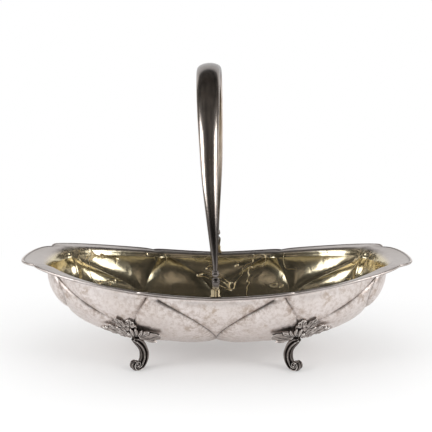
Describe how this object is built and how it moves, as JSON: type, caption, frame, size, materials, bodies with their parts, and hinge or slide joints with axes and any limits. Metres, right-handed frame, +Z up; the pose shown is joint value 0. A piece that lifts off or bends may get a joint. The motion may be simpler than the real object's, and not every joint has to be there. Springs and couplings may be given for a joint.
{
  "type": "handled bowl",
  "caption": "Boat-shaped footed bowl with a lobed body, everted rim, scroll feet and a hollow swing handle arching over it.",
  "frame": {"origin": "on the table under the middle of the bowl", "axes": "+Z up, +X along the bowl to one tip, +Y across it along the handle's hinge"},
  "size_m": [0.29, 0.1492, 0.2155],
  "materials": {
    "silver": "worn polish with light tarnish; the inside of the shell is gilt",
    "cast_silver": "cast and chased, dark tarnish in the recesses",
    "polished_silver": "high polish with dark tarnish",
    "gilt_silver": "worn gilding over silver"
  },
  "bodies": {
    "bowl": {"bowl_shell": "silver", "hinge_lug_front": "gilt_silver", "hinge_lug_back": "gilt_silver", "hinge_pin_front": "polished_silver", "hinge_pin_back": "polished_silver", "foot_leaf_front_left": "cast_silver", "foot_leaf_front_right": "cast_silver", "foot_leaf_back_left": "cast_silver", "foot_leaf_back_right": "cast_silver", "foot_leg_front_left": "cast_silver", "foot_leg_front_right": "cast_silver", "foot_leg_back_left": "cast_silver", "foot_leg_back_right": "cast_silver"},
    "handle": {"handle_dome": "polished_silver", "handle_lining": "polished_silver", "handle_knuckle_front": "polished_silver", "handle_knuckle_back": "polished_silver"}
  },
  "joints": [
    {"name": "handle_swing", "type": "hinge", "parent": "bowl", "child": "handle", "pos_m": [0, 0, 0.071], "axis": [0, 1, 0], "range_deg": [-81.4, 85.8]}
  ]
}
